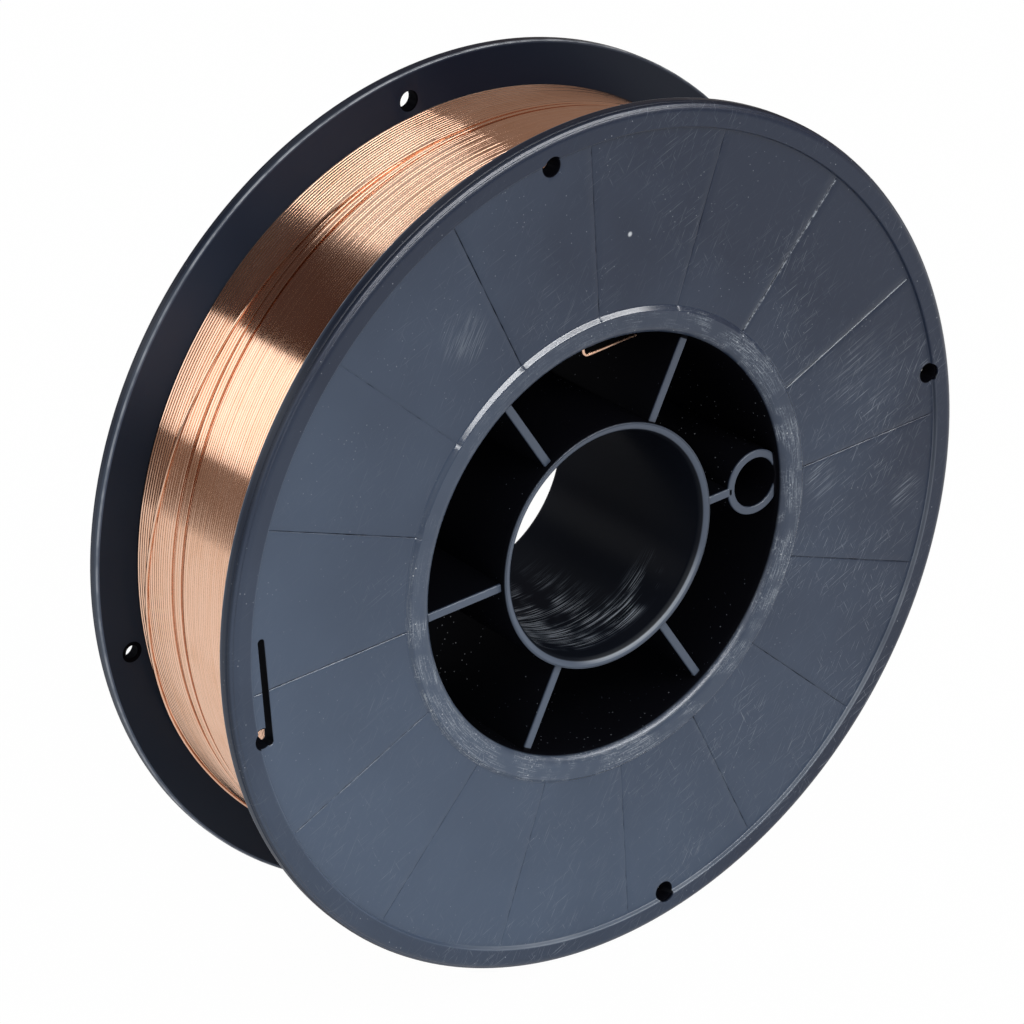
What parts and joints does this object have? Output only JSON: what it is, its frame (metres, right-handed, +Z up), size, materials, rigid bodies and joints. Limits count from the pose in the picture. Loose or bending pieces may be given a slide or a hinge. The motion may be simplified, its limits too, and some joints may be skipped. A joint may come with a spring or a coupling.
{
  "type": "welding wire spool",
  "caption": "Black moulded plastic spool wound full of thin copper-coated steel welding wire, with a ribbed hub, a centre bore and a driving hole.",
  "frame": {"origin": "on the spool's axis, half way between its two outer sides", "axes": "Y along the axis of the spool, with -Y out of the front side, the one with the wire slot; +Z up; +X to the right seen from the front"},
  "size_m": [0.202, 0.055, 0.202],
  "materials": {
    "spool_plastic": "semi-gloss moulded black, scuffed on its raised ring and scratched",
    "coated_wire": "thin bright copper coat on round steel wire, wound side by side"
  },
  "bodies": {
    "root": {"spool": "spool_plastic", "wire_coil": "coated_wire"}
  },
  "joints": []
}
